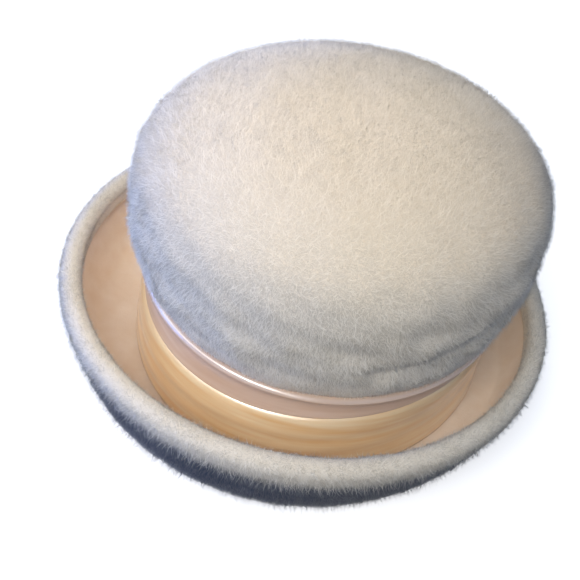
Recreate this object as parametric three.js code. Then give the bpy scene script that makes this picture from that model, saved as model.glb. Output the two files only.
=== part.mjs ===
// A bowler-shaped hat of long-napped fur felt: an overhanging drum crown, a draped satin band and an
// upturned brim with a rolled edge. Millimetres, +Z up, +Y along the head's length. The hat stands on
// the flat ring under its brim at z = 0, and the origin is the middle of that ring.
import * as THREE from "three";

// Driving dimensions. A radius is the mean radius of an oval ring.
const FELT = 2.8; // wall of the fur felt, with the matted root of its nap
const FACING = 1.5; // smooth felt that lines the brim
const GAP = 0.3; // between pieces that lie against each other
const HEAD_RADIUS = 87.7; // inside of the head opening, about 55 cm round
const HEAD_OVAL = 1.17; // length over width of the head, crown and band
const BRIM_OVAL = 1.125; // length over width at the brim's edge
const CROWN_WIDEST = { r: 100.6, z: 85 };
const CROWN_RISE = 39; // from the widest ring to the top
const CROWN_ROUNDNESS = 3.2; // exponent of the superellipse over the top
const CROWN_HEM = { r: 93.6, z: 51.6 }; // where the crown turns in over the band
const RIDGE_Z = 38.3; // the fold line across the band
const ROLL = { r: 121.3, z: 33.7, outside: 5 }; // rolled edge of the brim: its middle and its radius
const LIP_Z = 27.5; // free edge of the roll, inside the brim
const CROWN_OFFSET = { x: 5.2, y: 1.2 }; // the crown sits a little off the brim's middle
const CROWN_LEAN = { x: -0.02, y: -0.014 }; // sideways for each millimetre up, above the band
const BRIM_LIFT = { x: -0.015, y: -0.05 }; // slope of the brim's edge: the front stands higher
const HEM_SLOPE = { x: -0.035, y: -0.02 }; // slope of the band's top edge
const RIDGE_SLOPE = { x: 0.037, y: 0.032 }; // slope of the fold line, the other way
const SEGMENTS = 48; // round each ring

// Heights at which the sloping edges above act, and radii between the head's oval and the brim's.
const LEAN_FROM_Z = 42;
const SLOPES = [
  { z: 8, x: 0, y: 0 },
  { z: RIDGE_Z, ...RIDGE_SLOPE },
  { z: CROWN_HEM.z, ...HEM_SLOPE },
  { z: 76, x: 0, y: 0 },
];
const SPREAD = { from: 95, to: 118 };
const LIFT = { from: 0, to: 20 };
const CROWN_ONLY_ABOVE = 47;

// The brim's outer line, from the head opening out along the floor and up the wall to the roll.
const BRIM_WALL = [
  { r: 105, z: 0 },
  { r: 111.2, z: 1.5 },
  { r: 115.8, z: 5.8 },
  { r: 119.5, z: 12.5 },
  { r: 122.8, z: 21.5 },
  { r: 125.8, z: 29.5 },
];
// The crown's side, from its widest ring down to the hem.
const CROWN_SIDE = [
  { r: CROWN_WIDEST.r, z: CROWN_WIDEST.z },
  { r: 99.9, z: 74 },
  { r: 97.6, z: 63 },
  { r: 95, z: 55 },
  { r: CROWN_HEM.r, z: CROWN_HEM.z },
];
// Outer line of the satin over its collar, read from the top edge down: the upper tuck, then the ridge
// and the soft folds of the lower one. out is how far the satin stands off the collar.
const UPPER_TUCK = [
  { z: 51, out: 2.2 },
  { z: 50.2, out: 3.6 },
  { z: 48.6, out: 3.3 },
  { z: 46, out: 2.3 },
  { z: 42.5, out: 1.8 },
  { z: 39.4, out: 2 },
];
const LOWER_TUCK = [
  { z: 39.1, out: 1.7 },
  { z: 38.3, out: 2.9 },
  { z: 36.8, out: 2.7 },
  { z: 33, out: 2.1 },
  { z: 28.5, out: 2.9 },
  { z: 24.5, out: 2.4 },
  { z: 19.5, out: 3.3 },
  { z: 15.5, out: 2.9 },
  { z: 10, out: 3.8 },
  { z: 5.4, out: 3.9 },
];

// Colours read by eye from the hat: warm white nap, champagne satin and peach facing felt.
const furFelt = new THREE.MeshStandardMaterial({ color: "#e9e2d4", roughness: 0.95, metalness: 0 });
const satin = new THREE.MeshStandardMaterial({ color: "#d3aa76", roughness: 0.35, metalness: 0 });
const facingFelt = new THREE.MeshStandardMaterial({ color: "#e2c6a0", roughness: 0.9, metalness: 0 });

const mix = (a, b, t) => a + (b - a) * t;
const ease = (from, to, v) => THREE.MathUtils.smoothstep(v, from, to);

// Slope of the sloping edges at a height, from the rows of SLOPES.
function slopeAt(z, key) {
  const last = SLOPES.length - 1;
  if (z <= SLOPES[0].z || z >= SLOPES[last].z) return 0;
  const i = SLOPES.findIndex((row) => row.z > z);
  const low = SLOPES[i - 1];
  const high = SLOPES[i];
  return mix(low[key], high[key], (z - low.z) / (high.z - low.z));
}

// The hat's own space: a point at ring radius r, height z and angle a round the head. Every piece goes
// through it, so pieces that are clear of each other in their sections stay clear all the way round.
function place(r, z, a) {
  const brim = ease(SPREAD.from, SPREAD.to, r) * (z < CROWN_ONLY_ABOVE ? 1 : 0);
  const stretch = Math.sqrt(mix(HEAD_OVAL, BRIM_OVAL, brim));
  const above = Math.max(0, z - LEAN_FROM_Z);
  const x = (CROWN_OFFSET.x + CROWN_LEAN.x * above) * (1 - brim) + (r * Math.cos(a)) / stretch;
  const y = (CROWN_OFFSET.y + CROWN_LEAN.y * above) * (1 - brim) + r * Math.sin(a) * stretch;
  const lift = brim * ease(LIFT.from, LIFT.to, z) * (BRIM_LIFT.x * x + BRIM_LIFT.y * y);
  const slope = (1 - brim) * (slopeAt(z, "x") * x + slopeAt(z, "y") * y);
  return new THREE.Vector3(x, y, z + lift + slope);
}

// A smooth line through a table's rows, with the given number of steps.
function smooth(rows, steps) {
  return new THREE.SplineCurve(rows.map((row) => new THREE.Vector2(row.r, row.z))).getPoints(steps);
}

// A line moved sideways by a distance, to its left as it runs. A point on the axis stays there.
function offset(line, distance) {
  return line.map((p, i) => {
    const before = line[Math.max(0, i - 1)];
    const after = line[Math.min(line.length - 1, i + 1)];
    const along = after.clone().sub(before).normalize();
    const moved = new THREE.Vector2(p.x - along.y * distance, p.y + along.x * distance);
    return p.x < 1e-9 ? new THREE.Vector2(0, moved.y) : moved;
  });
}

// A closed wall turned round the head: the section runs along one line, back along the other, and rises
// on its outer side so that its faces point out.
function turned(name, line, back, material) {
  const section = [...line, ...[...back].reverse()];
  const onAxis = section[0].x === 0;
  if (!onAxis) section.push(section[0].clone());
  const geometry = new THREE.LatheGeometry(section, SEGMENTS).rotateX(Math.PI / 2);
  const position = geometry.attributes.position;
  for (let i = 0; i < position.count; i++) {
    const x = position.getX(i);
    const y = position.getY(i);
    const p = place(Math.hypot(x, y), position.getZ(i), Math.atan2(y, x));
    position.setXYZ(i, p.x, p.y, p.z);
  }
  geometry.computeVertexNormals();
  const mesh = new THREE.Mesh(geometry, material);
  mesh.name = name;
  return mesh;
}

// The crown: a superellipse over the top, the side, the hem turned in, and the collar behind the band.
function crown() {
  const collar = HEAD_RADIUS + FELT;
  const steps = 10;
  const top = Array.from({ length: steps }, (_, i) => {
    const t = (i / steps) * (Math.PI / 2);
    const power = 2 / CROWN_ROUNDNESS;
    return new THREE.Vector2(
      CROWN_WIDEST.r * Math.sin(t) ** power,
      CROWN_WIDEST.z + CROWN_RISE * Math.cos(t) ** power,
    );
  });
  const skin = [...top, ...smooth(CROWN_SIDE, 6)];
  const foot = FELT + GAP;
  const outside = [...skin, new THREE.Vector2(collar, CROWN_HEM.z - GAP), new THREE.Vector2(collar, foot)];
  const inside = [
    ...offset(skin, -FELT),
    new THREE.Vector2(HEAD_RADIUS, CROWN_HEM.z - FELT),
    new THREE.Vector2(HEAD_RADIUS, foot),
  ];
  return turned("crown", inside, outside, furFelt);
}

// The brim's outer line: floor, wall, half a turn of roll, and the lip that hangs inside.
function brimLine() {
  const roll = new THREE.EllipseCurve(ROLL.r, ROLL.z, ROLL.outside, ROLL.outside, 0, Math.PI, false);
  const floor = new THREE.Vector2(HEAD_RADIUS, 0);
  const lip = new THREE.Vector2(ROLL.r - ROLL.outside + 0.2, LIP_Z);
  return [floor, ...smooth(BRIM_WALL, 7), ...roll.getPoints(7), lip];
}

function brim() {
  const line = brimLine();
  return turned("brim", line, offset(line, FELT), furFelt);
}

// The facing lies on the brim's inner side, from the crown's collar up into the roll.
function brimFacing() {
  const start = new THREE.Vector2(HEAD_RADIUS + FELT + GAP, 0);
  const line = [start, ...smooth(BRIM_WALL, 7)];
  const under = offset(line, FELT + GAP);
  const face = offset(line, FELT + GAP + FACING);
  return turned("brim_facing", under, face, facingFelt);
}

// One tuck of the band, between the collar and its own outer line.
function tuck(name, rows) {
  const collar = HEAD_RADIUS + FELT;
  const face = rows.map((row) => new THREE.Vector2(collar + row.out, row.z));
  const back = rows.map((row) => new THREE.Vector2(collar + GAP, row.z));
  return turned(name, back, face, satin);
}

const hat = new THREE.Group();
hat.add(crown(), brim(), brimFacing(), tuck("band_upper", UPPER_TUCK), tuck("band_lower", LOWER_TUCK));

export default hat;
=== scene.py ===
# %% [markdown]
# # A fur felt hat with a satin band
#
# The hat is a drum of long-napped felt over an upturned brim, with a draped satin ribbon between
# them. Its solids come in as a fixed frame. Every surface here is worked out again with numpy, finer
# than the solids and in the same place, and the nap is grown on the felt as real hairs.
# Sizes are in millimetres, as a hat maker would give them, and MM turns them into Blender's metres.

import bpy
import numpy as np
from mathutils import Matrix


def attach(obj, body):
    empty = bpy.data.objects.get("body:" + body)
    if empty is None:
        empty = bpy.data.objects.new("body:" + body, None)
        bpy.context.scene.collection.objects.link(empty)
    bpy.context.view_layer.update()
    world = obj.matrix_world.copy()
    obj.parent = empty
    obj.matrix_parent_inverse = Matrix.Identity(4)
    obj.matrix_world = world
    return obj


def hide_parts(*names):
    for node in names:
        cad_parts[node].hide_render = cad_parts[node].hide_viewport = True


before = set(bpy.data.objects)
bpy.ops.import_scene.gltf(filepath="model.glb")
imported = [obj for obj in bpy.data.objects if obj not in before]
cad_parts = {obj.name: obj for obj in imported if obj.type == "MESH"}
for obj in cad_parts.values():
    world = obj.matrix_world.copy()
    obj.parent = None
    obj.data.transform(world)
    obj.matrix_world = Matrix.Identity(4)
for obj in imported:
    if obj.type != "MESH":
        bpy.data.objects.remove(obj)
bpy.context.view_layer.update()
MM = 0.001
print("solids in the frame:", sorted(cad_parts))

# %% [markdown]
# ## The camera
#
# The hat is seen from a little right of its front, from about forty degrees up, with the camera held
# aslant. A camera could be turned by hand until it looks right. Here it is built from the four numbers
# a photographer would give, so that it can be checked: where it looks, from how far, from which side,
# and how far it leans.

# %% Camera
LOOK_AT = np.array([-1.7, -30.8, 42.5])
DISTANCE = 399.7
AZIMUTH, ELEVATION, LEAN = np.radians([16.2, 41.1, 13.1])
SENSOR = 36.0
FOCAL_SHARE = 848.0 / 580.0  # focal length over the picture's width


def add_camera():
    """Camera matrix from a back vector and two axes across it, turned about the back vector by LEAN."""
    back = np.array([
        np.sin(AZIMUTH) * np.cos(ELEVATION),
        -np.cos(AZIMUTH) * np.cos(ELEVATION),
        np.sin(ELEVATION),
    ])
    level = np.cross(-back, [0.0, 0.0, 1.0])
    level /= np.linalg.norm(level)
    upward = np.cross(level, -back)
    right = np.cos(LEAN) * level + np.sin(LEAN) * upward
    up = np.cos(LEAN) * upward - np.sin(LEAN) * level
    data = bpy.data.cameras.new("camera")
    data.sensor_width = SENSOR
    data.lens = FOCAL_SHARE * SENSOR
    data.clip_start = 0.01
    camera = bpy.data.objects.new("camera", data)
    place_at = (LOOK_AT + DISTANCE * back) * MM
    rows = np.column_stack([right, up, back, place_at]).tolist()
    camera.matrix_world = Matrix(rows + [[0, 0, 0, 1]])
    bpy.context.collection.objects.link(camera)
    bpy.context.scene.camera = camera
    return camera


print("camera at", [round(v, 3) for v in add_camera().matrix_world.translation])

# %% [markdown]
# ## Floor and light
#
# A pale floor carries the hat. A soft panel stands in front, nearly in the middle, and a small warm lamp
# hangs close over the crown, so the middle of the top is brightest and the far and right sides fall off,
# while the undercut wall of the brim stays in shade. A blue panel stands low at the front left, as a window
# would, and a low neutral one behind on the left keeps the back of the hat cream. Two long strips draw the
# bright lines along the satin's folds: they are hidden from diffuse rays, so they gleam in the satin and
# leave the felt as it is. The surround is bluish, darkest below and dimmer on the right, and the floor
# throws no light back, as if it were flagged off, so the underside stays deep.

# %% Floor and light
FLOOR_HALF = 3000.0
FLOOR_GLOW = 0.55
LIGHT_AIM = np.array([0.0, 0.0, 80.0])  # the crown's middle
SURROUND_LEFT, SURROUND_RIGHT = 1.15, 0.6  # strength of the surround on either side


def linear(hex_colour):
    """An sRGB hex colour as linear red, green, blue and alpha."""
    srgb = np.array([int(hex_colour[i:i + 2], 16) for i in (1, 3, 5)]) / 255
    value = np.where(srgb <= 0.04045, srgb / 12.92, ((srgb + 0.055) / 1.055) ** 2.4)
    return (*value.tolist(), 1.0)


def add_node(tree, kind, settings=None, values=None, links=None):
    """A new shader node with its settings, the values of its sockets and the outputs linked to it."""
    node = tree.nodes.new(kind)
    for name, value in (settings or {}).items():
        setattr(node, name, value)
    for socket, value in (values or {}).items():
        node.inputs[socket].default_value = value
    for socket, source in (links or {}).items():
        tree.links.new(source, node.inputs[socket])
    return node


def new_material(name):
    """An empty node material with its output, as (material, tree, output)."""
    material = bpy.data.materials.new(name)
    material.use_nodes = True
    material.node_tree.nodes.clear()
    return material, material.node_tree, material.node_tree.nodes.new("ShaderNodeOutputMaterial")


def painted_board():
    """Matt white paint on board, rolled on evenly, without gloss, and lit from below like a light table."""
    material, tree, output = new_material("matt_white_paint")
    place = add_node(tree, "ShaderNodeTexCoord")
    mottle = add_node(tree, "ShaderNodeTexNoise", values={"Scale": 1 / (300 * MM)},
                      links={"Vector": place.outputs["Object"]})
    ramp = add_node(tree, "ShaderNodeValToRGB", links={"Fac": mottle.outputs["Fac"]})
    ramp.color_ramp.elements[0].color = linear("#f4f4f3")
    ramp.color_ramp.elements[1].color = linear("#f8f8f7")
    paint = add_node(tree, "ShaderNodeBsdfPrincipled",
                     values={"Roughness": 0.9, "Emission Color": linear("#ffffff"),
                             "Emission Strength": FLOOR_GLOW},
                     links={"Base Color": ramp.outputs["Color"]})
    tree.links.new(paint.outputs["BSDF"], output.inputs["Surface"])
    return material


def add_floor():
    """One square of FLOOR_HALF each way at z = 0."""
    corners = np.array([[-1, -1, 0], [1, -1, 0], [1, 1, 0], [-1, 1, 0]]) * FLOOR_HALF * MM
    mesh = bpy.data.meshes.new("floor")
    mesh.from_pydata(corners.tolist(), [], [(0, 1, 2, 3)])
    floor = bpy.data.objects.new("floor", mesh)
    floor.visible_diffuse = False
    floor.data.materials.append(painted_board())
    bpy.context.collection.objects.link(floor)


def add_panel(name, at, size, watts, colour, gleam_only=False):
    """A rectangular soft light, its place and size in millimetres, aimed at the crown's middle."""
    data = bpy.data.lights.new(name, "AREA")
    data.shape = "RECTANGLE"
    data.size, data.size_y = size[0] * MM, size[1] * MM
    data.energy = watts
    data.color = linear(colour)[:3]
    panel = bpy.data.objects.new(name, data)
    aim = LIGHT_AIM - np.array(at)
    back = -aim / np.linalg.norm(aim)
    side = np.cross([0.0, 0.0, 1.0], back)
    side /= np.linalg.norm(side)
    rows = np.column_stack([side, np.cross(back, side), back, np.array(at) * MM]).tolist()
    panel.matrix_world = Matrix(rows + [[0, 0, 0, 1]])
    panel.visible_diffuse = not gleam_only
    bpy.context.collection.objects.link(panel)


def add_surround(heights):
    """A surround coloured by the height of the direction, from straight down to straight up."""
    world = bpy.data.worlds.new("surround")
    world.use_nodes = True
    tree = world.node_tree
    place = add_node(tree, "ShaderNodeTexCoord")
    parts = add_node(tree, "ShaderNodeSeparateXYZ", links={"Vector": place.outputs["Generated"]})
    share = add_node(tree, "ShaderNodeMapRange", values={"From Min": -1.0, "From Max": 1.0},
                     links={"Value": parts.outputs["Z"]})
    ramp = add_node(tree, "ShaderNodeValToRGB", links={"Fac": share.outputs["Result"]})
    ramp.color_ramp.elements.remove(ramp.color_ramp.elements[1])
    for number, (height, colour) in enumerate(heights):
        stop = ramp.color_ramp.elements[0] if number == 0 else ramp.color_ramp.elements.new(height)
        stop.position = height
        stop.color = linear(colour)
    dimming = add_node(tree, "ShaderNodeMapRange",
                       values={"From Min": -1.0, "From Max": 1.0,
                               "To Min": SURROUND_LEFT, "To Max": SURROUND_RIGHT},
                       links={"Value": parts.outputs["X"]})
    background = tree.nodes["Background"]
    tree.links.new(ramp.outputs["Color"], background.inputs["Color"])
    tree.links.new(dimming.outputs["Result"], background.inputs["Strength"])
    bpy.context.scene.world = world


add_floor()
add_panel("front_panel", at=(-45.0, -640.0, 610.0), size=(400.0, 400.0), watts=3.95, colour="#fdf9f5")
add_panel("crown_lamp", at=(-50.0, -40.0, 300.0), size=(130.0, 130.0), watts=0.2, colour="#ffdda4")
add_panel("window_panel", at=(-960.0, -300.0, 130.0), size=(900.0, 300.0), watts=7.0, colour="#4a8af4")
add_panel("back_panel", at=(-520.0, 760.0, 190.0), size=(360.0, 300.0), watts=2.6, colour="#f6f3ee")
add_panel("front_strip", at=(-395.0, -810.0, 720.0), size=(2800.0, 420.0), watts=12.0, colour="#ffffff",
          gleam_only=True)
add_panel("left_strip", at=(-770.0, 540.0, 720.0), size=(1300.0, 420.0), watts=5.5, colour="#ffffff",
          gleam_only=True)
add_surround([
    (0.0, "#0c1220"),
    (0.46, "#1b2536"),
    (0.53, "#495b7c"),
    (0.62, "#829ac4"),
    (0.8, "#a3b2cb"),
    (1.0, "#b6bfce"),
])
bpy.context.scene.view_settings.view_transform = "Standard"
print("floor, six lights and surround are in place")

# %% [markdown]
# ## The hat's own space
#
# A hat is a stack of ovals, but they are not one above the other: the crown sits a little off the
# brim's middle and leans, the brim's front edge stands higher than its back, and the fold lines of the
# band slope. Rather than bend each piece afterwards, one function turns a ring radius, a height and an
# angle into a point, and every surface goes through it. Pieces that are clear in section stay clear.

# %% Hat space
FELT, FACING, GAP = 2.8, 1.5, 0.3  # thicknesses, and the gap between pieces
HEAD_RADIUS = 87.7
HEAD_OVAL, BRIM_OVAL = 1.17, 1.125  # length over width
COLLAR = HEAD_RADIUS + FELT
HEM_R, HEM_Z = 93.6, 51.6  # lower edge of the crown's drum
RIDGE_Z = 38.3  # ridge between the tucks of the band
CROWN_OFFSET, CROWN_LEAN, LEAN_FROM_Z = (5.2, 1.2), (-0.02, -0.014), 42.0
BRIM_LIFT, LIFT_TO_Z = (-0.015, -0.05), 20.0
SPREAD_FROM, SPREAD_TO, CROWN_ONLY_ABOVE = 95.0, 118.0, 47.0
# How far the fold lines slope along x and along y, at four heights.
SLOPE_Z = [8.0, RIDGE_Z, HEM_Z, 76.0]
SLOPE_X = [0.0, 0.037, -0.035, 0.0]
SLOPE_Y = [0.0, 0.032, -0.02, 0.0]


def ease(low, high, value):
    """A smooth step from 0 at low to 1 at high: 3t squared less 2t cubed."""
    t = np.clip((value - low) / (high - low), 0, 1)
    return t * t * (3 - 2 * t)


def hat_space(r, z, a):
    """Points at ring radius r, height z and angle a, in millimetres.

    The oval goes from the head's to the brim's as r grows; the crown's offset and lean fade as it does.
    Heights are tilted by the brim's lift outside and by the band's slopes inside."""
    r, z, a = np.broadcast_arrays(r, z, a)
    brim = ease(SPREAD_FROM, SPREAD_TO, r) * (z < CROWN_ONLY_ABOVE)
    stretch = np.sqrt(HEAD_OVAL + (BRIM_OVAL - HEAD_OVAL) * brim)
    above = np.maximum(0, z - LEAN_FROM_Z)
    x = (CROWN_OFFSET[0] + CROWN_LEAN[0] * above) * (1 - brim) + r * np.cos(a) / stretch
    y = (CROWN_OFFSET[1] + CROWN_LEAN[1] * above) * (1 - brim) + r * np.sin(a) * stretch
    lift = brim * ease(0, LIFT_TO_Z, z) * (BRIM_LIFT[0] * x + BRIM_LIFT[1] * y)
    slope = np.interp(z, SLOPE_Z, SLOPE_X) * x + np.interp(z, SLOPE_Z, SLOPE_Y) * y
    return np.stack([x, y, z + lift + (1 - brim) * slope], axis=-1)


opening = hat_space(HEAD_RADIUS, FELT, np.linspace(0, 2 * np.pi, 91))
print("head opening, mm:", np.ptp(opening, axis=0)[:2].round(1))

# %% [markdown]
# ## Section lines
#
# A section is the line that a hat block's template would have. The crown's is a superellipse over the
# top and a smooth side down to the hem; the brim's runs from the lip over the roll, down the undercut
# wall and in along the floor. A smooth line through a few given points is a Catmull-Rom spline.

# %% Section lines
CROWN_WIDEST_R, CROWN_WIDEST_Z, CROWN_RISE, CROWN_ROUNDNESS = 100.6, 85.0, 39.0, 3.2
CROWN_SIDE = np.array([[CROWN_WIDEST_R, CROWN_WIDEST_Z], [99.9, 74], [97.6, 63], [95, 55], [HEM_R, HEM_Z]])
ROLL_R, ROLL_Z, ROLL_OUTSIDE, LIP_Z = 121.3, 33.7, 5.0, 27.5
LIP_INSET = 0.2  # the lip is set back this far from the roll's inner edge
FLAT_R = 104.0  # the floor of the brim is flat inside this radius
BRIM_WALL = np.array([[105, 0], [111.2, 1.5], [115.8, 5.8], [119.5, 12.5], [122.8, 21.5], [125.8, 29.5]])


def spline(points, count):
    """A Catmull-Rom line: each stretch is a cubic whose end slopes are half the neighbours' difference."""
    padded = np.vstack([2 * points[0] - points[1], points, 2 * points[-1] - points[-2]])
    u = np.linspace(0, len(points) - 1, count)
    i = np.minimum(u.astype(int), len(points) - 2)
    t = (u - i)[:, None]
    p0, p1, p2, p3 = (padded[i + k] for k in range(4))
    return 0.5 * (2 * p1 + (p2 - p0) * t + (2 * p0 - 5 * p1 + 4 * p2 - p3) * t**2
                  + (3 * p1 - p0 - 3 * p2 + p3) * t**3)


def even(line, count):
    """The same line with its points spread evenly along its length."""
    along = np.concatenate([[0], np.cumsum(np.linalg.norm(np.diff(line, axis=0), axis=1))])
    where = np.linspace(0, along[-1], count)
    return np.column_stack([np.interp(where, along, line[:, k]) for k in range(2)])


def moved(line, distance):
    """The line moved to the right of its run, square to it. A point on the axis stays there."""
    run = np.gradient(line, axis=0)
    run /= np.linalg.norm(run, axis=1)[:, None]
    out = line + distance * np.column_stack([run[:, 1], -run[:, 0]])
    out[line[:, 0] < 1e-9, 0] = 0
    return out


def crown_line(count):
    """From the middle of the top out over the shoulder and down the side to the hem."""
    t = np.linspace(0, np.pi / 2, 200)
    power = 2 / CROWN_ROUNDNESS
    top = np.column_stack([
        CROWN_WIDEST_R * np.sin(t) ** power,
        CROWN_WIDEST_Z + CROWN_RISE * np.clip(np.cos(t), 0, 1) ** power,
    ])
    return even(np.vstack([top, spline(CROWN_SIDE, 80)[1:]]), count)


def brim_line(count):
    """From the lip up over the roll, down the wall and in along the floor to the head opening."""
    t = np.linspace(np.pi, 0, 60)
    lip_r = np.full(12, ROLL_R - ROLL_OUTSIDE + LIP_INSET)
    lip = np.column_stack([lip_r, np.linspace(LIP_Z, ROLL_Z - 0.5, 12)])
    roll = np.column_stack([ROLL_R + ROLL_OUTSIDE * np.cos(t), ROLL_Z + ROLL_OUTSIDE * np.sin(t)])
    wall = spline(BRIM_WALL, 90)[::-1]
    floor = np.column_stack([np.linspace(FLAT_R, HEAD_RADIUS, 20), np.zeros(20)])
    return even(np.vstack([lip, roll, wall, floor]), count)


print("crown line, mm:", crown_line(300)[[0, 150, 299]].round(1).tolist())

# %% [markdown]
# ## From arrays to meshes
#
# A turned wall is a grid of section points by angles. Its vertices are one array and its faces another,
# made by shifting indices, and foreach_set hands both to Blender at once. A wall that reaches the axis
# ends in one shared point with a fan of triangles, so no pole is left open.

# %% Mesh helpers
COLUMNS = 180  # points round the hat on each felt piece


def mesh_piece(name, points, faces, material, attributes=None, normals=None):
    """An object at the origin from points in millimetres and a list of face arrays, smooth shaded.

    Attributes are one number a point. Normals go on the mesh and into a vector attribute named lay."""
    mesh = bpy.data.meshes.new(name)
    mesh.vertices.add(len(points))
    mesh.vertices.foreach_set("co", (points * MM).astype(np.float32).ravel())
    corners = np.concatenate([f.ravel() for f in faces])
    sides = np.concatenate([np.full(len(f), f.shape[1]) for f in faces])
    mesh.loops.add(len(corners))
    mesh.loops.foreach_set("vertex_index", corners.astype(np.int32))
    mesh.polygons.add(len(sides))
    starts = np.concatenate([[0], np.cumsum(sides)[:-1]])
    mesh.polygons.foreach_set("loop_start", starts.astype(np.int32))
    mesh.update(calc_edges=True)
    mesh.validate()
    mesh.shade_smooth()
    for key, values in (attributes or {}).items():
        mesh.attributes.new(key, "FLOAT", "POINT").data.foreach_set("value", values.astype(np.float32))
    if normals is not None:
        mesh.normals_split_custom_set_from_vertices(normals.tolist())
        lay = mesh.attributes.new("lay", "FLOAT_VECTOR", "POINT")
        lay.data.foreach_set("vector", normals.astype(np.float32).ravel())
    mesh.materials.append(material)
    piece = bpy.data.objects.new(name, mesh)
    bpy.context.collection.objects.link(piece)
    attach(piece, "root")
    return piece


def grid_faces(rows, columns, close_rows):
    """Quads of a grid whose columns go round; each joins a point, the next column, and the next row."""
    i = np.arange(rows if close_rows else rows - 1)[:, None]
    j = np.arange(columns)[None, :]
    below = (i + 1) % rows
    right = (j + 1) % columns
    quads = np.stack([
        i * columns + j,
        below * columns + j,
        below * columns + right,
        i * columns + right,
    ], axis=-1)
    return quads.reshape(-1, 4)


def turned_points(line, columns):
    """A section line carried round the hat, as an array of line points by angles by three."""
    a = np.linspace(0, 2 * np.pi, columns, endpoint=False)
    return hat_space(line[:, :1], line[:, 1:], a[None, :])


print("mesh helpers are ready")

# %% [markdown]
# ## Soft random fields
#
# Nap is never even: tufts lean together, the felt under them is lumpy, and the colour drifts. A sum of
# a few plane waves in random directions is a cheap smooth field for all of that. It is seamless
# because it depends only on where a point is.

# %% Soft fields
def ripple(points, wavelength, seed, waves=9):
    """A sum of sine waves in random directions, of about the given wavelength, with a spread of about 1."""
    rng = np.random.default_rng(seed)
    direction = rng.normal(size=(waves, 3))
    direction /= np.linalg.norm(direction, axis=1)[:, None]
    wave_number = 2 * np.pi / (wavelength * rng.uniform(0.7, 1.5, waves))
    phase = rng.uniform(0, 2 * np.pi, waves)
    flat = points.reshape(-1, 3)
    total = np.sin(flat @ (direction * wave_number[:, None]).T + phase).sum(axis=1)
    return (total / np.sqrt(waves / 2)).reshape(points.shape[:-1])


# How far the felt swells, in millimetres: a little everywhere and more on the side, between these heights.
SWELL_LEAST, SWELL_SIDE = 0.1, 0.5
SWELL_TOP_FADE, SWELL_HEM_FADE = (112.0, 90.0), (44.0, 60.0)
SWELL_STRETCH = np.array([0.3, 0.3, 1.0])  # the waves are longer round the hat than up it
FLEECE, FLEECE_FADE = 0.16, (50.0, 42.0)  # short woolly waves on the brim
# A crease pressed into the right of the crown. Angles are in degrees from the front towards the right.
GROOVE = {"low": 71.0, "high": 83.0, "half": 3.2, "deep": 1.5, "turn": 20.0, "climb": 60.0}
GROOVE_START, GROOVE_END = (12.0, 45.0), (125.0, 95.0)


def lumps(points):
    """How far the felt swells out at each point: long waves, the brim's fleece, and less in the groove.

    The groove takes its depth away along a line that climbs from the front to the right, as a bell."""
    z = points[..., 2]
    amount = SWELL_LEAST + SWELL_SIDE * ease(*SWELL_TOP_FADE, z) * ease(*SWELL_HEM_FADE, z)
    waves = amount * (0.8 * ripple(points * SWELL_STRETCH, 11, 11) + 0.4 * ripple(points, 16, 12))
    fleece = FLEECE * ease(*FLEECE_FADE, z) * ripple(points, 4, 13)
    turn = np.degrees(np.arctan2(points[..., 0], -points[..., 1]))
    climbed = np.clip((turn - GROOVE["turn"]) / GROOVE["climb"], 0, 1.2)
    height = GROOVE["low"] + (GROOVE["high"] - GROOVE["low"]) * climbed
    window = ease(*GROOVE_START, turn) * ease(*GROOVE_END, turn)
    return waves + fleece - GROOVE["deep"] * window * np.exp(-((z - height) / GROOVE["half"]) ** 2)


probe = np.random.default_rng(0).normal(size=(4000, 3)) * 50
print("field spread:", round(float(ripple(probe, 12, 1).std()), 2))

# %% [markdown]
# ## Felt under the nap
#
# Fur felt is matted hair, so under the loose nap there is a dull, slightly darker mat. It shows inside
# the crown, under the brim and between tufts. The outer skin lies a little below the solids' surface,
# because the nap stands on it.

# %% Felt walls
MAT_DEPTH = 0.3  # how far the mat lies below the solids' surface
# The dark of the brim's undercut wall is painted: partly a smoky ground under the pale hairs, partly painted
# shade.
SMOKE_AND_SHADE_COLOUR = "#2a3448"  # the blue-grey of the brim's outer wall: partly a smoky ground, partly painted shade under the roll
# Shares of the brim's line between which the smoke and painted shade set in: for mat and undercoat, and for
# long hairs.
MAT_SMOKE_AND_SHADE, LONG_HAIR_SMOKE_AND_SHADE = (0.29, 0.4), (0.32, 0.43)
COLOUR_A, COLOUR_B, COLOUR_OUT = 6, 7, 2  # sockets of a Mix node when it mixes colours


def smoked_and_shaded(tree, colour):
    """The colour, turned to the smoky ground and painted shade by the piece's own attribute, from 0 to 1."""
    share = add_node(tree, "ShaderNodeAttribute", settings={"attribute_name": "smoke_and_shade"})
    mix = add_node(tree, "ShaderNodeMix", settings={"data_type": "RGBA"},
                   links={"Factor": share.outputs["Fac"]})
    tree.links.new(colour, mix.inputs[COLOUR_A])
    mix.inputs[COLOUR_B].default_value = linear(SMOKE_AND_SHADE_COLOUR)
    return mix.outputs[COLOUR_OUT]


def wall_smoke_and_shade(line, start, end):
    """How far the brim turns to smoky ground and painted shade along its line: not at all before start, on
    the roll, and wholly after end.
    """
    return ease(start, end, np.linspace(0, 1, len(line)))


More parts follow.
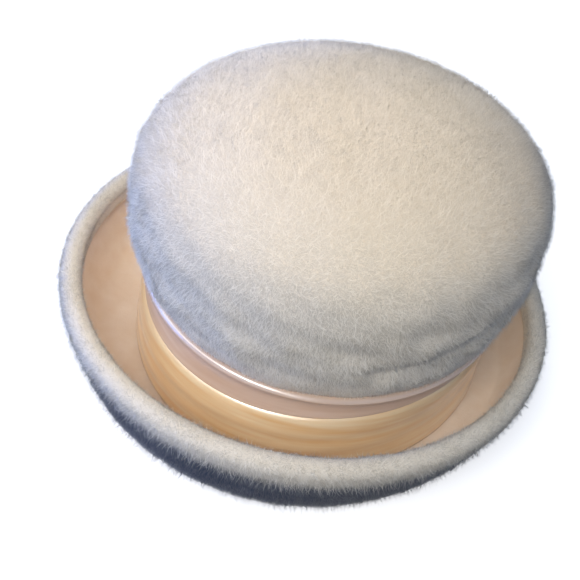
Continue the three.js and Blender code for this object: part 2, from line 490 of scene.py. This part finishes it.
def matted_felt():
    """Fur felt, blocked and steamed: matted hair with no gloss, lumpy at 6 mm and grainy at 0.5 mm."""
    material, tree, output = new_material("fur_felt_mat")
    place = add_node(tree, "ShaderNodeTexCoord")
    clumps = add_node(tree, "ShaderNodeTexNoise", values={"Scale": 1 / (6 * MM), "Detail": 3.0},
                      links={"Vector": place.outputs["Object"]})
    grain = add_node(tree, "ShaderNodeTexNoise", values={"Scale": 1 / (0.5 * MM), "Detail": 2.0},
                     links={"Vector": place.outputs["Object"]})
    ramp = add_node(tree, "ShaderNodeValToRGB", links={"Fac": clumps.outputs["Fac"]})
    ramp.color_ramp.elements[0].color = linear("#e4dac8")
    ramp.color_ramp.elements[1].color = linear("#eee6d6")
    bump = add_node(tree, "ShaderNodeBump", values={"Strength": 0.6, "Distance": 0.3 * MM},
                    links={"Height": grain.outputs["Fac"]})
    # On the brim's outer wall the mat turns to smoky ground and painted shade.
    felt = add_node(tree, "ShaderNodeBsdfPrincipled", values={"Roughness": 0.95, "Specular IOR Level": 0.2},
                    links={"Base Color": smoked_and_shaded(tree, ramp.outputs["Color"]),
                           "Normal": bump.outputs["Normal"]})
    tree.links.new(felt.outputs["BSDF"], output.inputs["Surface"])
    return material


def crown_felt(material):
    """The crown's two skins from pole to foot, joined along the foot of the collar; the outer one swells."""
    foot = FELT + GAP
    skin = crown_line(56)
    half_way = 24.0
    collar_outside = [[COLLAR, HEM_Z - GAP], [COLLAR, half_way], [COLLAR, foot]]
    collar_inside = [[HEAD_RADIUS, HEM_Z - FELT], [HEAD_RADIUS, half_way], [HEAD_RADIUS, foot]]
    outside = np.vstack([moved(skin, MAT_DEPTH), collar_outside])
    inside = np.vstack([moved(skin, FELT), collar_inside])
    section = np.vstack([outside[1:], inside[:0:-1]])
    rings = turned_points(section, COLUMNS)
    outward = np.vstack([(moved(skin, -1.0) - skin)[1:], np.zeros((len(section) - len(skin) + 1, 2))])
    swell = lumps(rings)
    a = np.linspace(0, 2 * np.pi, COLUMNS, endpoint=False)
    swollen_r = section[:, :1] + outward[:, :1] * swell
    swollen_z = section[:, 1:] + outward[:, 1:] * swell
    rings = hat_space(swollen_r, swollen_z, a).reshape(-1, 3)
    poles = hat_space(np.zeros(2), np.array([outside[0, 1], inside[0, 1]]), np.zeros(2))
    j = np.arange(COLUMNS)
    right = (j + 1) % COLUMNS
    last = (len(section) - 1) * COLUMNS
    top = np.column_stack([np.full(COLUMNS, len(rings)), j, right])
    under = np.column_stack([np.full(COLUMNS, len(rings) + 1), last + right, last + j])
    faces = [grid_faces(len(section), COLUMNS, False), top, under]
    return mesh_piece("crown_felt", np.vstack([rings, poles]), faces, material)


def brim_felt(material):
    """The brim's outer line moved in by the mat's depth, and back along its inner line, closed on itself."""
    line = brim_line(60)
    section = np.vstack([moved(line, MAT_DEPTH * (line[:, 1:] > 0.5)), moved(line, FELT)[::-1]])
    points = turned_points(section, COLUMNS).reshape(-1, 3)
    # Below the roll the brim is painted with smoky ground and shade.
    smoke_and_shade = np.repeat(np.concatenate([wall_smoke_and_shade(line, *MAT_SMOKE_AND_SHADE), np.zeros(len(line))]), COLUMNS)
    faces = grid_faces(len(section), COLUMNS, True)
    return mesh_piece("brim_felt", points, [faces], material, {"smoke_and_shade": smoke_and_shade})


felt_mat = matted_felt()
crown_mat = crown_felt(felt_mat)
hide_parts("crown")
brim_mat = brim_felt(felt_mat)
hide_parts("brim")
print("felt faces:", len(crown_mat.data.polygons), len(brim_mat.data.polygons))

# %% [markdown]
# ## Facing of the brim
#
# Inside the brim lies a second, smooth felt, sheared short, so its colour shows without any nap. It
# runs from the band up under the lip of the roll. Hand-blocked felt is never quite true, so it gets a
# gentle unevenness.

# %% Facing felt
UNEVEN, UNEVEN_FROM = 0.35, (98.0, 106.0)  # how far the facing swells, and the radii over which that sets in


def sheared_felt():
    """Wool felt, sheared and pressed: matt with a faint bloom, fibres about 0.8 mm, clouds about 9 mm."""
    material, tree, output = new_material("sheared_wool_felt")
    place = add_node(tree, "ShaderNodeTexCoord")
    clouds = add_node(tree, "ShaderNodeTexNoise", values={"Scale": 1 / (9 * MM), "Detail": 6.0},
                      links={"Vector": place.outputs["Object"]})
    fibres = add_node(tree, "ShaderNodeTexNoise",
                      values={"Scale": 1 / (0.8 * MM), "Detail": 3.0, "Distortion": 1.0},
                      links={"Vector": place.outputs["Object"]})
    ramp = add_node(tree, "ShaderNodeValToRGB", links={"Fac": clouds.outputs["Fac"]})
    ramp.color_ramp.elements[0].color = linear("#ebd2b5")
    ramp.color_ramp.elements[1].color = linear("#fbebd8")
    bump = add_node(tree, "ShaderNodeBump", values={"Strength": 0.7, "Distance": 0.35 * MM},
                    links={"Height": fibres.outputs["Fac"]})
    felt = add_node(tree, "ShaderNodeBsdfPrincipled",
                    values={"Roughness": 0.9, "Specular IOR Level": 0.25, "Sheen Weight": 0.15,
                            "Sheen Roughness": 0.5},
                    links={"Base Color": ramp.outputs["Color"], "Normal": bump.outputs["Normal"]})
    tree.links.new(felt.outputs["BSDF"], output.inputs["Surface"])
    return material


def brim_facing(material):
    """The brim's inner line moved off it by the gap and by the facing's thickness, closed on itself."""
    floor = np.column_stack([np.linspace(COLLAR + GAP, FLAT_R, 20), np.zeros(20)])
    line = even(np.vstack([floor, spline(BRIM_WALL, 80)]), 44)
    under = moved(line, -(FELT + GAP))
    face = moved(line, -(FELT + GAP + FACING))
    section = np.vstack([face, under[::-1]])
    points = turned_points(section, COLUMNS)
    soft = UNEVEN * ripple(points, 45, 31) * ease(*UNEVEN_FROM, section[:, :1])
    points[..., 2] += np.where(np.arange(len(section))[:, None] < len(face), soft, 0)
    faces = grid_faces(len(section), COLUMNS, True)
    return mesh_piece("brim_facing_felt", points.reshape(-1, 3), [faces], material)


facing = brim_facing(sheared_felt())
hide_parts("brim_facing")
print("facing faces:", len(facing.data.polygons))

# %% [markdown]
# ## Satin band
#
# The band is one ribbon of satin laid round the collar in two tucks. Each tuck is a face between a
# bottom and a top height, standing off the collar by a few millimetres. A row of the fold table gives
# a fold's height at the left and at the right, because on the right the folds run together under the
# crown. The top of each tuck is folded over in a tight round edge, which catches the light.

# %% Satin band
BAND_RIGHT = 0.1  # angle, in radians, where the folds of the band run together
BAND_COLUMNS, FACE_POINTS, EDGE_POINTS = 240, 38, 9
# Faces of the tucks from bottom to top: height, and how far the satin stands off the collar.
UPPER_FACE = np.array([[38.4, 2.0], [41.0, 1.4], [44.0, 0.9], [46.4, 1.3], [48.2, 3.2], [49.2, 4.7]])
LOWER_FACE = np.array([
    [5.4, 4.0], [14.0, 3.8], [24.0, 3.6], [31.0, 3.7], [34.0, 3.6],
    [36.0, 3.2], [37.4, 2.5], [38.3, 1.7], [38.7, 1.1],
])
# Folds of the lower tuck: height at the left and at the right, how far they stand out, and half width.
LOWER_FOLDS = [
    {"left": 25.5, "right": 31.5, "out": 0.55, "half": 4.2},
    {"left": 14.5, "right": 23.5, "out": 0.8, "half": 4.8},
    {"left": 4.0, "right": 13.0, "out": 0.6, "half": 4.2},
]


def satin_cloth(name, deep, pale):
    """Polyester satin: long threads float along the ribbon, so it is smooth and glossy with a soft spread;
    its light and dark streaks are painted sheen and shade of soft folds.
    """
    material, tree, output = new_material(name)
    place = add_node(tree, "ShaderNodeTexCoord")
    stretch = add_node(tree, "ShaderNodeMapping", values={"Scale": (1.0, 1.0, 12.0)},
                       links={"Vector": place.outputs["Object"]})
    float_texture_and_painted_sheen = add_node(tree, "ShaderNodeTexNoise", values={"Scale": 1 / (36 * MM), "Detail": 2.0},
                      links={"Vector": stretch.outputs["Vector"]})
    # The ramp from deep to pale paints the sheen and shade of soft folds as streaks; the same field's bump
    # is the satin's float texture.
    ramp = add_node(tree, "ShaderNodeValToRGB", links={"Fac": float_texture_and_painted_sheen.outputs["Fac"]})
    ramp.color_ramp.elements[0].position = 0.25
    ramp.color_ramp.elements[1].position = 0.75
    ramp.color_ramp.elements[0].color = linear(deep)
    ramp.color_ramp.elements[1].color = linear(pale)
    bump = add_node(tree, "ShaderNodeBump", values={"Strength": 0.2, "Distance": 0.4 * MM},
                    links={"Height": float_texture_and_painted_sheen.outputs["Fac"]})
    cloth = add_node(tree, "ShaderNodeBsdfPrincipled",
                     values={"Metallic": 0.04, "Roughness": 0.34, "Specular IOR Level": 0.8,
                             "Sheen Weight": 0.15, "Sheen Tint": linear("#f1e4ea"),
                             "Coat Weight": 0.75, "Coat IOR": 1.9, "Coat Roughness": 0.2},
                     links={"Base Color": ramp.outputs["Color"], "Normal": bump.outputs["Normal"]})
    tree.links.new(cloth.outputs["BSDF"], output.inputs["Surface"])
    return material


def tuck(name, face_rows, edge, folds, bulge, material):
    """A closed ring: the face with its folds, a round top edge, and a plain back against the collar.

    Each fold adds out times a bell of the distance from its own height, which slides from left to right
    with a cosine round the hat. bulge adds a broad swell on the right, or takes it away."""
    a = np.linspace(0, 2 * np.pi, BAND_COLUMNS, endpoint=False)[None, :]
    rightness = 0.5 + 0.5 * np.cos(a - BAND_RIGHT)
    face = even(spline(face_rows, 200), FACE_POINTS)
    z, out = face[:, :1], face[:, 1:] + np.zeros_like(a)
    for fold in folds:
        middle = fold["left"] + (fold["right"] - fold["left"]) * rightness**2
        out = out + fold["out"] * np.exp(-((z - middle) / fold["half"]) ** 2)
    low, high = face_rows[0, 0], face_rows[-1, 0]
    out = out + bulge * rightness**2 * np.sin(np.pi * (z - low) / (high - low))
    t = np.linspace(0, np.pi, EDGE_POINTS)[1:, None]
    over_out = out[-1:] - edge + edge * np.cos(t)
    over_z = high + edge * np.sin(t)
    back_z = np.array([[high], [low]])
    r = COLLAR + np.vstack([out, over_out, np.full((2, BAND_COLUMNS), GAP)])
    height = np.vstack([z, over_z, back_z])
    points = hat_space(r, height, a)
    faces = grid_faces(len(height), BAND_COLUMNS, True)[:, ::-1]
    return mesh_piece(name, points.reshape(-1, 3), [faces], material)


# The upper tuck is the same satin in a greyer, pinker copy: painted reflection of the grey nap and cool
# surround in its hollow face.
satin_with_painted_reflection = satin_cloth("champagne_satin_with_painted_reflection", "#d8b89c", "#e8d0bc")
gold_satin = satin_cloth("gold_champagne_satin", "#f2ca8e", "#ffe9c0")
band_upper = tuck("band_upper_tuck", UPPER_FACE, edge=2.1, folds=[], bulge=0.0, material=satin_with_painted_reflection)
band_lower = tuck("band_lower_tuck", LOWER_FACE, edge=0.35, folds=LOWER_FOLDS, bulge=-2.0,
                  material=gold_satin)
for ribbon, node, width in ((band_upper, "band_upper", 0.013), (band_lower, "band_lower", 0.037)):
    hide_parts(node)
print("satin faces:", len(band_upper.data.polygons), len(band_lower.data.polygons))

# %% [markdown]
# ## Nap
#
# The nap is what makes this hat: a close, soft undercoat with longer hairs standing out of it. Blender's
# hair system would do, but hairs that are plain little blades travel with the mesh to any other program.
# A hair of the undercoat is a single triangle, so there can be hundreds of thousands; a long hair has
# three and bends. A table gives, along the section line, how long the hairs are, how they stand at the
# root and at the tip, and which way they lie: brushed down and a little round on the side, in tufts that
# soft fields turn together, and every way at once on the top, so that no parting shows there.
#
# A blade shaded by its own flat face would be bright or dark at random. Each hair carries its lay instead,
# a direction that follows the felt below it, so the coat shades as one soft surface. Real hair lets light
# through, and opaque blades would throw hard black marks on each other, so the coats cast no shadow. The
# shade deep in the nap is painted instead: roots and undercoat are darker, partly in the hair's own colour.

# %% Nap
FLOOR_CLEAR = 0.05  # no hair goes lower than this
ROOT_DEPTH = 0.2  # how far a root is sunk in the mat
DOME, DOME_FADE = 0.5, (80.0, 100.0)  # towards the rim of the crown the lay leans outwards, as on a dome
TUFT, FINE, TURNING = 12.0, 4.0, 14.0  # wavelengths of the fields that lift and turn the hairs
FIELD_LIFT, TUFT_LENGTH = 3.0, 0.05  # how many degrees a field lifts a tip, and how far a tuft is longer
TURN_BROAD, TURN_FINE = 0.7, 0.4  # shares of the broad and the fine field in the turning
LENGTH_SPREAD = (0.75, 1.2)
ROOT_SHAKE, TWIST, TAPER = 6.0, 0.9, 0.8  # degrees, radians, and width of a bent hair half way
ACROSS_ROUND, ALONG_ROUND = 0.2, 0.12  # how far the lay turns across a blade and back along it
# Hairs darken towards the root: partly the hair's own colour, partly painted shade deep in the nap.
ROOT_TONE_AND_SHADE, TONE_RISE_OUT_OF_SHADE, TONE_SPREAD = 0.35, 0.4, 0.26
# Steps of an even two-number sequence: one over the plastic number, and one over its square.
STEP_U, STEP_V = 0.7548776662466927, 0.5698402909980532


def fur_hair():
    """Rabbit hair: ivory and dull, with a faint sheen, greyer at the root: partly its own colour, partly
    painted shade deep in the nap.

    Both faces of a blade are shaded by its lay; bump correction would bend that back, so it is off."""
    material, tree, output = new_material("ivory_rabbit_hair")
    tone_and_root_shade = add_node(tree, "ShaderNodeAttribute", settings={"attribute_name": "tone_and_root_shade"})
    ramp = add_node(tree, "ShaderNodeValToRGB", links={"Fac": tone_and_root_shade.outputs["Fac"]})
    ramp.color_ramp.elements[0].color = linear("#c3bbaa")
    ramp.color_ramp.elements[1].color = linear("#fbf5e7")
    lay = add_node(tree, "ShaderNodeAttribute", settings={"attribute_name": "lay"})
    # On the brim's wall the hairs turn to smoky ground and painted shade.
    hair = add_node(tree, "ShaderNodeBsdfPrincipled",
                    values={"Roughness": 0.75, "Specular IOR Level": 0.3, "Sheen Weight": 0.2},
                    links={"Base Color": smoked_and_shaded(tree, ramp.outputs["Color"]),
                           "Normal": lay.outputs["Vector"]})
    material.cycles.use_bump_map_correction = False
    tree.links.new(hair.outputs["BSDF"], output.inputs["Surface"])
    return material


def roots(line, count, seed):
    """Root points spread evenly over a turned line, with the frame of the surface at each.

    An even two-number sequence fills the square; its first number goes through the inverse of the
    area swept so far, so that wide rings get more hairs."""
    k = np.arange(count) + np.random.default_rng(seed).uniform(0, 1000)
    u, v = (k * STEP_U) % 1, (k * STEP_V) % 1
    swept = np.concatenate([[0], np.cumsum(0.5 * (line[1:, 0] + line[:-1, 0]))])
    s = np.interp(u * swept[-1], swept, np.arange(len(line)))
    a = 2 * np.pi * v

    def at(where, angle):
        index = np.arange(len(line))
        r = np.interp(where, index, line[:, 0])
        z = np.interp(where, index, line[:, 1])
        return hat_space(r, z, angle)

    here = at(s, a)
    step, turn = 0.5, 0.01
    down = at(np.minimum(s + step, len(line) - 1), a) - at(np.maximum(s - step, 0), a)
    around = at(s, a + turn) - at(s, a - turn)
    down /= np.linalg.norm(down, axis=1)[:, None]
    around /= np.linalg.norm(around, axis=1)[:, None]
    normal = np.cross(down, around)
    normal /= np.linalg.norm(normal, axis=1)[:, None]
    return s / (len(line) - 1), here, down, around, normal


def nap(name, line, rows, coat, seed, material, smoke_and_shade=None):
    """Hairs as blades: a straight one is a root pair and a tip, a bent one has a middle pair as well.

    A hair leaves its root at the row's root angle and bends to the tip angle half way. Its heading is
    the row's brushing round from straight down the section, turned by soft fields times its wander.
    Its lay is the felt's normal, tilted by the slope of the lumps and rounded across and along the hair."""
    count = coat["count"]
    rng = np.random.default_rng(seed)
    share, here, down, around, normal = roots(line, count, seed)
    at = [row["at"] for row in rows]
    length, root_lift, tip_lift, brushed, wander, stray, streak = (
        np.interp(share, at, [row[key] for row in rows])
        for key in ("length", "root", "tip", "round", "wander", "stray", "streak"))
    slope_down = 0.5 * (lumps(here + down) - lumps(here - down))[:, None]
    slope_around = 0.5 * (lumps(here + around) - lumps(here - around))[:, None]
    tilted = normal - slope_down * down - slope_around * around
    here = here + lumps(here)[:, None] * normal
    tuft = ripple(here, TUFT, 5)
    fine = ripple(here, FINE, 6)
    heading = brushed + wander * (TURN_BROAD * ripple(here, TURNING, 7) + TURN_FINE * fine)
    heading = np.radians(heading + stray * rng.normal(0, 1, count))
    root_lift = np.radians(root_lift + coat["lift"] + rng.normal(0, ROOT_SHAKE, count))
    tip_lift = tip_lift + coat["lift"] + FIELD_LIFT * tuft + FIELD_LIFT * fine
    tip_lift = np.radians(tip_lift + rng.normal(0, coat["shake"], count))
    length = length * coat["reach"] * (1 + TUFT_LENGTH * tuft) * rng.uniform(*LENGTH_SPREAD, count)
    comb = np.cos(heading)[:, None] * down + np.sin(heading)[:, None] * around
    first = np.cos(root_lift)[:, None] * comb + np.sin(root_lift)[:, None] * normal
    second = np.cos(tip_lift)[:, None] * comb + np.sin(tip_lift)[:, None] * normal
    start = here - (MAT_DEPTH + ROOT_DEPTH) * normal
    middle = start + 0.5 * length[:, None] * first
    tip = middle + 0.5 * length[:, None] * second
    twist = rng.uniform(-TWIST, TWIST, count)[:, None]
    flat = np.cross(normal, comb)
    across = (np.cos(twist) * flat + np.sin(twist) * normal) * coat["width"] / 2
    if coat["bent"]:
        narrow = TAPER * across
        points = [start - across, start + across, middle - narrow, middle + narrow, tip]
        lean = [-flat, flat, -flat, flat, 0 * flat]
        along = [first, first, second, second, second]
        root_shade_to_tip = [0, 0, 0.5, 0.5, 1]
        shapes = [[0, 2, 3, 1], [2, 4, 3]]
    else:
        points = [start - across, start + across, tip]
        lean = [-flat, flat, 0 * flat]
        along = [first, first, second]
        root_shade_to_tip = [0, 0, 1]
        shapes = [[0, 2, 1]]
    points = np.stack(points, axis=1)
    points[..., 2] = np.maximum(points[..., 2], FLOOR_CLEAR)
    rim = here * [1, 1, 0] / CROWN_WIDEST_R
    outward = np.linalg.norm(rim, axis=1)[:, None] * rim
    domed = tilted + DOME * ease(*DOME_FADE, here[:, 2:]) * outward
    roundness = ACROSS_ROUND * np.stack(lean, axis=1) - ALONG_ROUND * np.stack(along, axis=1)
    shading = domed[:, None] + streak[:, None, None] * roundness
    shading /= np.linalg.norm(shading, axis=2)[:, :, None]
    paler = coat["pale"] + rng.normal(0, TONE_SPREAD, (count, 1))
    # The root gets the darkest tone: partly hair colour, partly painted shade deep in the nap.
    tone_and_root_shade = ROOT_TONE_AND_SHADE + TONE_RISE_OUT_OF_SHADE * np.array(root_shade_to_tip) + streak[:, None] * paler
    attributes = {"tone_and_root_shade": np.clip(tone_and_root_shade, 0, 1).ravel()}
    # Each hair carries the brim's share of smoky ground and painted shade.
    if smoke_and_shade is not None:
        each = np.interp(share, np.linspace(0, 1, len(smoke_and_shade)), smoke_and_shade)
        attributes["smoke_and_shade"] = np.repeat(each, points.shape[1])
    first_point = points.shape[1] * np.arange(count)[:, None]
    faces = [first_point + np.array([shape]) for shape in shapes]
    return mesh_piece(name, points.reshape(-1, 3), faces, material, attributes, shading.reshape(-1, 3))


# The coats: hairs in a piece, blade width, length against the table, lift of the hairs and its spread in
# degrees, how much paler the streaks are, and whether a hair bends. The undercoat is less pale than the
# long hairs: partly its own colour, partly painted shade under them.
UNDERCOAT = dict(count=190000, width=0.24, reach=0.9, lift=-14, shake=9, pale=-0.45, bent=False)
LONG_HAIRS = dict(count=62000, width=0.17, reach=1.35, lift=8, shake=15, pale=0.65, bent=True)
BRIM_UNDERCOAT = {**UNDERCOAT, "pale": -0.2}
BRIM_LONG_HAIRS = {**LONG_HAIRS, "count": 20000, "pale": 0.4}
# Along the crown's line from the middle of the top to the hem: hair length, lift at the root and at the
# tip, how far round it is brushed, how far soft fields turn it and how far it strays, in degrees, and
# how streaky the coat is.
CROWN_NAP = [
    dict(at=0.0, length=3.9, root=48, tip=28, round=0, wander=40, stray=160, streak=0.25),
    dict(at=0.42, length=3.9, root=48, tip=28, round=0, wander=40, stray=120, streak=0.25),
    dict(at=0.6, length=3.4, root=48, tip=28, round=10, wander=40, stray=70, streak=0.5),
    dict(at=0.75, length=3.0, root=40, tip=22, round=15, wander=36, stray=55, streak=1.0),
    dict(at=0.88, length=3.4, root=38, tip=20, round=15, wander=36, stray=50, streak=1.0),
    dict(at=0.96, length=2.2, root=26, tip=12, round=5, wander=30, stray=40, streak=0.8),
    dict(at=1.0, length=1.5, root=18, tip=6, round=0, wander=20, stray=35, streak=0.8),
]
# Along the brim's line from the lip over the roll and down the wall to its foot.
BRIM_NAP = [
    dict(at=0.0, length=1.2, root=22, tip=8, round=0, wander=30, stray=45, streak=0.6),
    dict(at=0.1, length=2.1, root=46, tip=28, round=10, wander=50, stray=120, streak=1.4),
    dict(at=0.25, length=2.5, root=50, tip=30, round=10, wander=46, stray=100, streak=1.4),
    dict(at=0.34, length=3.2, root=48, tip=26, round=10, wander=60, stray=65, streak=1.0),
    dict(at=0.5, length=3.2, root=50, tip=32, round=10, wander=40, stray=55, streak=0.6),
    dict(at=0.8, length=3.7, root=52, tip=34, round=0, wander=40, stray=60, streak=0.5),
    dict(at=1.0, length=3.0, root=30, tip=16, round=0, wander=60, stray=60, streak=0.5),
]
BRIM_NAP_SHARE = 0.84  # the nap stops where the felt turns under to stand on the floor
hair = fur_hair()
over_crown = crown_line(400)
over_brim = brim_line(400)
down_to_foot = int(BRIM_NAP_SHARE * len(over_brim))
# How far the brim's coats turn to smoky ground and painted shade.
undercoat_smoke_and_shade = wall_smoke_and_shade(over_brim, *MAT_SMOKE_AND_SHADE)[:down_to_foot]
long_hair_smoke_and_shade = wall_smoke_and_shade(over_brim, *LONG_HAIR_SMOKE_AND_SHADE)[:down_to_foot]
coats = [
    nap("crown_undercoat_1", over_crown, CROWN_NAP, UNDERCOAT, 101, hair),
    nap("crown_undercoat_2", over_crown, CROWN_NAP, UNDERCOAT, 102, hair),
    nap("crown_long_hairs", over_crown, CROWN_NAP, LONG_HAIRS, 103, hair),
    nap("brim_undercoat", over_brim[:down_to_foot], BRIM_NAP, BRIM_UNDERCOAT, 201, hair, undercoat_smoke_and_shade),
    nap("brim_long_hairs", over_brim[:down_to_foot], BRIM_NAP, BRIM_LONG_HAIRS, 202, hair, long_hair_smoke_and_shade),
]
for coat in coats:
    coat.visible_shadow = False
print("faces in each coat:", [len(coat.data.polygons) for coat in coats])
